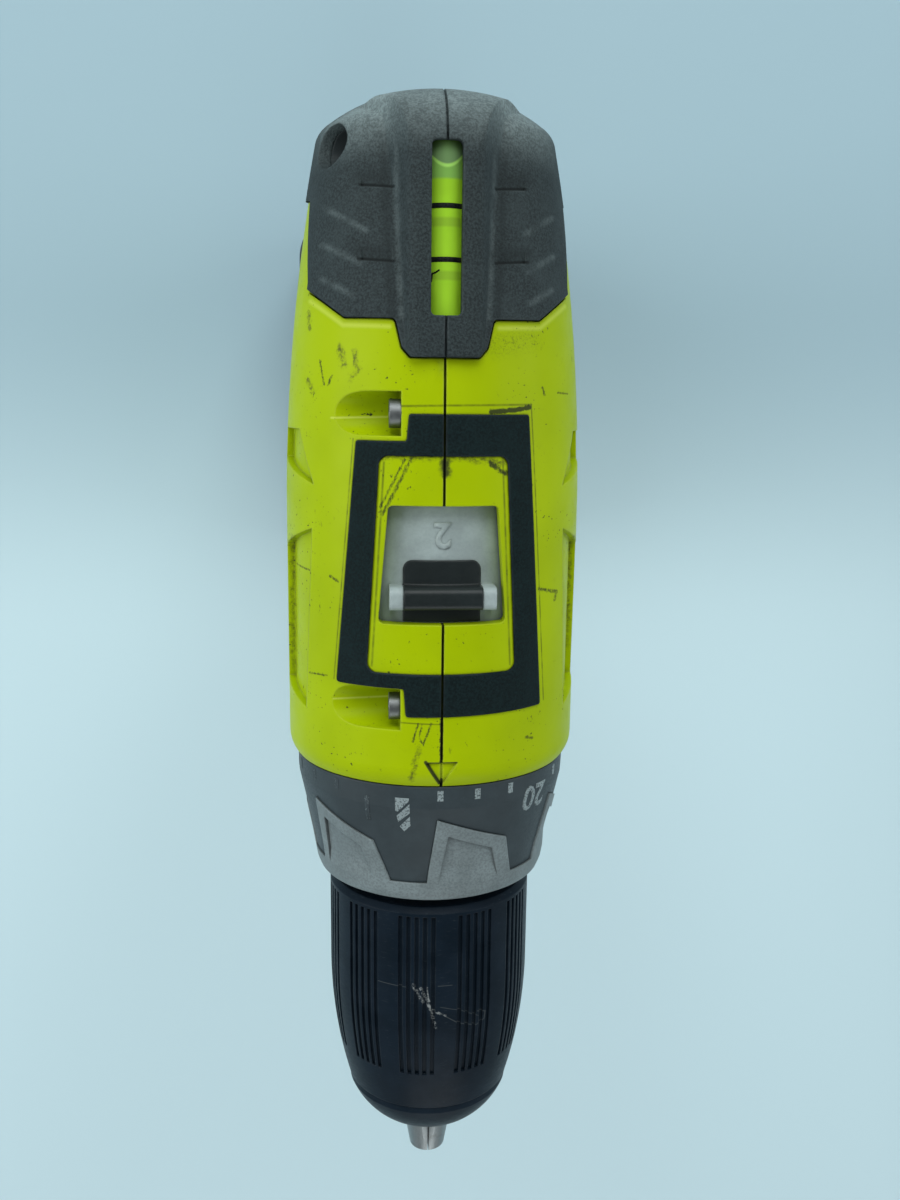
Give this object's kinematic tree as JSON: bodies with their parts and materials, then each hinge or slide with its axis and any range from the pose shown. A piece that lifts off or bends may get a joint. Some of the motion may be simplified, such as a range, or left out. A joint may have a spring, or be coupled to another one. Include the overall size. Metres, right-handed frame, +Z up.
{
  "type": "cordless drill-driver",
  "caption": "Pistol-grip cordless drill-driver with keyless three-jaw chuck, torque collar, top speed selector, spirit level, rubber grips and a slide-on battery foot.",
  "frame": {"origin": "middle of the battery's flat base, on which the drill stands", "axes": "+Z up from the base, -Y along the chuck axis out of the jaws, +X toward the left of a user who holds the drill"},
  "size_m": [0.0714, 0.2368, 0.2407],
  "materials": {
    "lime_plastic": "satin moulded plastic",
    "grip_rubber": "fine-grained rubber",
    "frame_rubber": "smooth rubber inlay",
    "collar_plastic": "moulded plastic",
    "light_plastic": "moulded plastic",
    "black_plastic": "moulded plastic",
    "sleeve_plastic": "moulded plastic",
    "nylon": "glass-filled plastic",
    "steel": "machined steel",
    "dark_steel": "blackened steel",
    "motor_steel": "plated sheet steel",
    "ferrite": "ferrite",
    "laminations": "laminations and copper winding",
    "copper": "bare copper",
    "bronze": "sintered bronze",
    "carbon": "pressed carbon",
    "vial": "clear acrylic with green fluid",
    "cell_can": "sleeved cell"
  },
  "bodies": {
    "housing": {"housing_right": "lime_plastic", "housing_left": "lime_plastic", "rear_grip_right": "grip_rubber", "rear_grip_left": "grip_rubber", "handle_grip_right": "grip_rubber", "handle_grip_left": "grip_rubber", "top_frame_right": "frame_rubber", "top_frame_left": "frame_rubber", "housing_screws": "dark_steel", "level_vial": "vial", "motor_can": "motor_steel", "motor_magnets": "ferrite", "motor_end_cap": "black_plastic", "carbon_brushes": "carbon", "motor_bearings": "bronze", "motor_plate": "nylon", "gearbox_case": "nylon", "ring_gear_1": "steel", "ring_gear_3": "steel", "clutch_pins": "steel", "clutch_spring": "steel", "spindle_bearing": "steel", "switch_body": "black_plastic", "terminal_block": "black_plastic"},
    "rotor": {"motor_shaft": "steel", "armature": "laminations", "commutator": "copper", "motor_fan": "black_plastic"},
    "planet_1a": {"stage1_planet_a": "steel"},
    "planet_1b": {"stage1_planet_b": "steel"},
    "planet_1c": {"stage1_planet_c": "steel"},
    "second_stage": {"carrier_1": "steel", "stage2_planets": "steel", "carrier_2": "steel"},
    "shift_ring": {"ring_gear_2": "steel"},
    "planet_3a": {"stage3_planet_a": "steel"},
    "planet_3b": {"stage3_planet_b": "steel"},
    "planet_3c": {"stage3_planet_c": "steel"},
    "output": {"output_carrier": "steel", "spindle": "steel", "chuck_body": "dark_steel"},
    "sleeve": {"chuck_sleeve": "sleeve_plastic", "chuck_nut": "dark_steel", "chuck_nose_ring": "dark_steel"},
    "jaw_a": {"chuck_jaw_a": "steel"},
    "jaw_b": {"chuck_jaw_b": "steel"},
    "jaw_c": {"chuck_jaw_c": "steel"},
    "collar": {"torque_collar": "collar_plastic", "collar_grip": "light_plastic"},
    "clutch_ring_nut": {"clutch_nut": "nylon"},
    "selector": {"speed_selector": "light_plastic", "selector_pad": "black_plastic", "shift_fork": "steel"},
    "trigger": {"trigger": "black_plastic"},
    "direction": {"direction_lever": "black_plastic"},
    "battery": {"battery_case": "nylon", "battery_lid": "nylon", "battery_cells": "cell_can"},
    "latch_right": {"battery_latch_right": "black_plastic"},
    "latch_left": {"battery_latch_left": "black_plastic"}
  },
  "joints": [
    {"name": "rotor_spin", "type": "hinge", "parent": "housing", "child": "rotor", "pos_m": [0, 0.013, 0.2089], "axis": [0, 1, 0], "continuous": true},
    {"name": "second_stage_spin", "type": "hinge", "parent": "housing", "child": "second_stage", "pos_m": [0, -0.032, 0.2089], "axis": [0, 1, 0], "continuous": true},
    {"name": "planet_1a_spin", "type": "hinge", "parent": "second_stage", "child": "planet_1a", "pos_m": [0, -0.017, 0.2221], "axis": [0, 1, 0], "continuous": true},
    {"name": "planet_1b_spin", "type": "hinge", "parent": "second_stage", "child": "planet_1b", "pos_m": [0.01143, -0.017, 0.2023], "axis": [0, 1, 0], "continuous": true},
    {"name": "planet_1c_spin", "type": "hinge", "parent": "second_stage", "child": "planet_1c", "pos_m": [-0.01143, -0.017, 0.2023], "axis": [0, 1, 0], "continuous": true},
    {"name": "selector_slide", "type": "slide", "parent": "housing", "child": "selector", "axis": [0, 1, 0], "range_m": [0, 0.007]},
    {"name": "shift_ring_spin", "type": "hinge", "parent": "selector", "child": "shift_ring", "pos_m": [0, -0.034, 0.2089], "axis": [0, 1, 0], "continuous": true},
    {"name": "output_spin", "type": "hinge", "parent": "housing", "child": "output", "pos_m": [0, -0.077, 0.2089], "axis": [0, 1, 0], "continuous": true},
    {"name": "planet_3a_spin", "type": "hinge", "parent": "output", "child": "planet_3a", "pos_m": [0, -0.044, 0.2221], "axis": [0, 1, 0], "continuous": true},
    {"name": "planet_3b_spin", "type": "hinge", "parent": "output", "child": "planet_3b", "pos_m": [0.01143, -0.044, 0.2023], "axis": [0, 1, 0], "continuous": true},
    {"name": "planet_3c_spin", "type": "hinge", "parent": "output", "child": "planet_3c", "pos_m": [-0.01143, -0.044, 0.2023], "axis": [0, 1, 0], "continuous": true},
    {"name": "sleeve_turn", "type": "hinge", "parent": "output", "child": "sleeve", "pos_m": [0, -0.132, 0.2089], "axis": [0, 1, 0], "range_deg": [0, 2880]},
    {"name": "jaw_a_slide", "type": "slide", "parent": "output", "child": "jaw_a", "axis": [0.246, 0.9588, 0.142], "range_m": [0, 0.02284]},
    {"name": "jaw_b_slide", "type": "slide", "parent": "output", "child": "jaw_b", "axis": [0, 0.9588, -0.284], "range_m": [0, 0.02284]},
    {"name": "jaw_c_slide", "type": "slide", "parent": "output", "child": "jaw_c", "axis": [-0.246, 0.9588, 0.142], "range_m": [0, 0.02284]},
    {"name": "collar_turn", "type": "hinge", "parent": "housing", "child": "collar", "pos_m": [0, -0.09, 0.2089], "axis": [0, 1, 0], "range_deg": [-330, 15], "deforming": ["clutch_spring"]},
    {"name": "clutch_nut_slide", "type": "slide", "parent": "collar", "child": "clutch_ring_nut", "axis": [0, 1, 0], "range_m": [-0.00862, 0.0004], "deforming": ["clutch_spring"]},
    {"name": "trigger_slide", "type": "slide", "parent": "housing", "child": "trigger", "axis": [0, 1, 0], "range_m": [0, 0.008], "stiffness_N_per_m": 600, "springref_m": -0.004},
    {"name": "direction_slide", "type": "slide", "parent": "housing", "child": "direction", "axis": [1, 0, 0], "range_m": [-0.0035, 0.0035]},
    {"name": "battery_slide", "type": "slide", "parent": "housing", "child": "battery", "axis": [0, 0, -1], "range_m": [0, 0.06]},
    {"name": "latch_right_press", "type": "slide", "parent": "battery", "child": "latch_right", "axis": [1, 0, 0], "range_m": [0, 0.003], "stiffness_N_per_m": 800, "springref_m": -0.002},
    {"name": "latch_left_press", "type": "slide", "parent": "battery", "child": "latch_left", "axis": [-1, 0, 0], "range_m": [0, 0.003], "stiffness_N_per_m": 800, "springref_m": -0.002}
  ],
  "couplings": [
    {"joint": "second_stage_spin", "follows": "rotor_spin", "ratio": 0.27273},
    {"joint": "shift_ring_spin", "follows": "rotor_spin", "ratio": 0.27273},
    {"joint": "output_spin", "follows": "rotor_spin", "ratio": 0.07438},
    {"joint": "planet_1a_spin", "follows": "rotor_spin", "ratio": -0.87273},
    {"joint": "planet_3a_spin", "follows": "rotor_spin", "ratio": -0.23802},
    {"joint": "jaw_a_slide", "follows": "sleeve_turn", "m_per_rad": 0.0004544},
    {"joint": "planet_1b_spin", "follows": "rotor_spin", "ratio": -0.87273},
    {"joint": "planet_3b_spin", "follows": "rotor_spin", "ratio": -0.23802},
    {"joint": "jaw_b_slide", "follows": "sleeve_turn", "m_per_rad": 0.0004544},
    {"joint": "planet_1c_spin", "follows": "rotor_spin", "ratio": -0.87273},
    {"joint": "planet_3c_spin", "follows": "rotor_spin", "ratio": -0.23802},
    {"joint": "jaw_c_slide", "follows": "sleeve_turn", "m_per_rad": 0.0004544},
    {"joint": "clutch_nut_slide", "follows": "collar_turn", "m_per_rad": 0.0014947}
  ]
}
